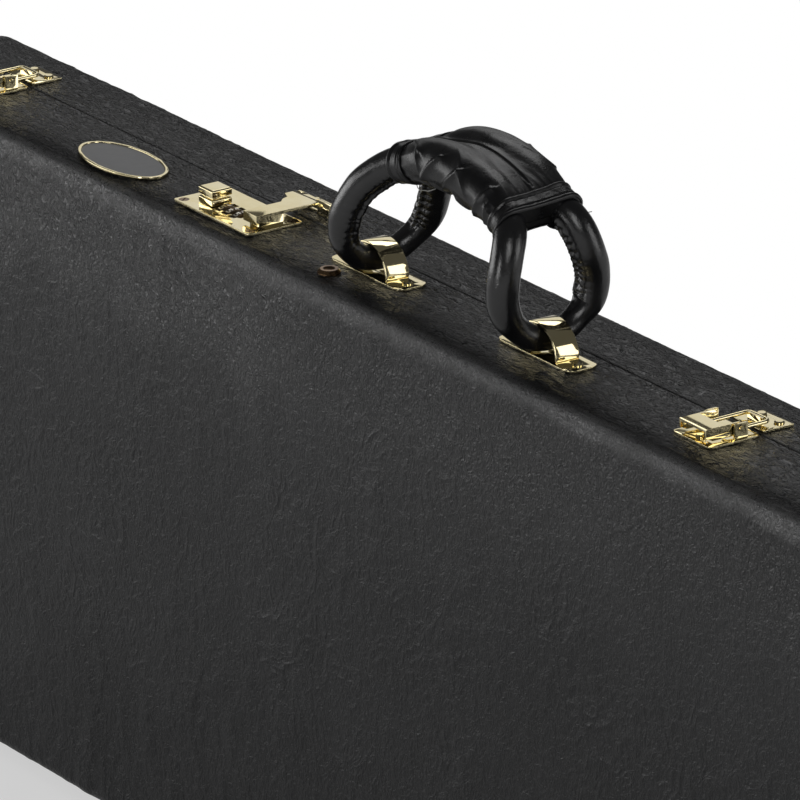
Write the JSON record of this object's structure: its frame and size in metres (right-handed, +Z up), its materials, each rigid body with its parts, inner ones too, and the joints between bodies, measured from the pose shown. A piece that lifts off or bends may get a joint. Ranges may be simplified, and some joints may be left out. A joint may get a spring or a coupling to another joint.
{
  "type": "electric guitar case",
  "caption": "Oblong hard case for an electric guitar, black wrinkled covering, folded padded carrying handle, combination lock with hasp, draw latches and a hinged lid.",
  "frame": {"origin": "under the middle of the case, on the surface it stands on, centred on its overall box", "axes": "+X along the case towards the guitar body's end, +Y from the deep base shell towards the lid, +Z up towards the handle side"},
  "size_m": [1.04, 0.097, 0.4603],
  "materials": {
    "brass": "polished",
    "lock_steel": "plain zinc",
    "plywood": "plain plywood",
    "covering": "wrinkled leatherette, satin",
    "plush": "short plush over foam",
    "handle_leather": "smooth padded leather, semi-gloss",
    "tab_leather": "satin",
    "feet": "matt",
    "dials": "satin, plain white numbers"
  },
  "bodies": {
    "base": {"base_corners": "plywood", "base_covering": "covering", "base_feet": "feet", "base_pad": "plush", "base_panel": "plywood", "base_rim_bottom": "plywood", "base_rim_ends": "plywood", "base_rim_lining": "plush", "base_rim_top": "plywood", "base_rivets": "brass", "badge": "brass", "compartment_walls": "plywood", "dial_axle": "brass", "end_bolsters": "plush", "handle_plates": "brass", "handle_straps": "brass", "hinge_base_leaves": "brass", "hinge_pins": "brass", "latch_plates": "brass", "lock_housing": "lock_steel", "lock_plate": "brass", "lock_screws": "brass", "neck_bolster": "plush", "neck_cradle": "plush", "side_rivet": "brass", "waist_bolsters": "plush"},
    "lid": {"lid_corners": "plywood", "lid_covering": "covering", "lid_feet": "feet", "lid_pad": "plush", "lid_panel": "plywood", "lid_rim_bottom": "plywood", "lid_rim_ends": "plywood", "lid_rim_lining": "plush", "lid_rim_top": "plywood", "lid_rivets": "brass", "hasp_leaf": "brass", "hasp_pin": "brass", "hinge_lid_leaves": "brass", "latch_catches": "brass"},
    "handle": {"handle_band_left": "handle_leather", "handle_band_right": "handle_leather", "handle_loop_left": "handle_leather", "handle_loop_right": "handle_leather", "handle_sleeve": "handle_leather"},
    "hasp": {"hasp_arm": "brass"},
    "slider": {"lock_slider": "brass"},
    "dial_a": {"dial_1": "dials"},
    "dial_b": {"dial_2": "dials"},
    "dial_c": {"dial_3": "dials"},
    "compartment_lid": {"compartment_lid": "plywood", "compartment_tab": "tab_leather"},
    "lever_1": {"latch_lever_1": "brass"},
    "bail_1": {"latch_bail_1": "brass"},
    "lever_2": {"latch_lever_2": "brass"},
    "bail_2": {"latch_bail_2": "brass"},
    "lever_3": {"latch_lever_3": "brass"},
    "bail_3": {"latch_bail_3": "brass"}
  },
  "joints": [
    {"name": "lid_hinge", "type": "hinge", "parent": "base", "child": "lid", "pos_m": [0, 0.0045, 0.0066], "axis": [-1, 0, 0], "range_deg": [0, 100]},
    {"name": "handle_tilt", "type": "hinge", "parent": "base", "child": "handle", "pos_m": [0, -0.0125, 0.3992], "axis": [1, 0, 0], "range_deg": [-30, 30]},
    {"name": "hasp_hinge", "type": "hinge", "parent": "lid", "child": "hasp", "pos_m": [-0.169, 0.0135, 0.3702], "axis": [-1, 0, 0], "range_deg": [0, 170]},
    {"name": "slider_slide", "type": "slide", "parent": "base", "child": "slider", "axis": [-1, 0, 0], "range_m": [0, 0.004], "stiffness_N_per_m": 400, "springref_m": -0.003},
    {"name": "dial_a_turn", "type": "hinge", "parent": "base", "child": "dial_a", "pos_m": [-0.1944, -0.0216, 0.3599], "axis": [1, 0, 0], "continuous": true},
    {"name": "dial_b_turn", "type": "hinge", "parent": "base", "child": "dial_b", "pos_m": [-0.1877, -0.0216, 0.3599], "axis": [1, 0, 0], "continuous": true},
    {"name": "dial_c_turn", "type": "hinge", "parent": "base", "child": "dial_c", "pos_m": [-0.181, -0.0216, 0.3599], "axis": [1, 0, 0], "continuous": true},
    {"name": "lever_1_hinge", "type": "hinge", "parent": "base", "child": "lever_1", "pos_m": [-0.43, -0.0075, 0.3705], "axis": [-1, 0, 0], "range_deg": [0, 90]},
    {"name": "bail_1_hinge", "type": "hinge", "parent": "lever_1", "child": "bail_1", "pos_m": [-0.43, -0.0135, 0.3689], "axis": [-1, 0, 0], "range_deg": [-90, 0]},
    {"name": "lever_2_hinge", "type": "hinge", "parent": "base", "child": "lever_2", "pos_m": [0.21, -0.0075, 0.3705], "axis": [-1, 0, 0], "range_deg": [0, 90]},
    {"name": "bail_2_hinge", "type": "hinge", "parent": "lever_2", "child": "bail_2", "pos_m": [0.21, -0.0135, 0.3689], "axis": [-1, 0, 0], "range_deg": [-90, 0]},
    {"name": "lever_3_hinge", "type": "hinge", "parent": "base", "child": "lever_3", "pos_m": [0.43, -0.0075, 0.3705], "axis": [-1, 0, 0], "range_deg": [0, 90]},
    {"name": "bail_3_hinge", "type": "hinge", "parent": "lever_3", "child": "bail_3", "pos_m": [0.43, -0.0135, 0.3689], "axis": [-1, 0, 0], "range_deg": [-90, 0]},
    {"name": "compartment_hinge", "type": "hinge", "parent": "base", "child": "compartment_lid", "pos_m": [-0.09, -0.0037, 0.3523], "axis": [1, 0, 0], "range_deg": [0, 80]}
  ],
  "couplings": [
    {"joint": "bail_1_hinge", "follows": "lever_1_hinge", "ratio": -1},
    {"joint": "bail_2_hinge", "follows": "lever_2_hinge", "ratio": -1},
    {"joint": "bail_3_hinge", "follows": "lever_3_hinge", "ratio": -1},
    {"joint": "compartment_hinge", "follows": "lid_hinge", "ratio": 0.8}
  ]
}
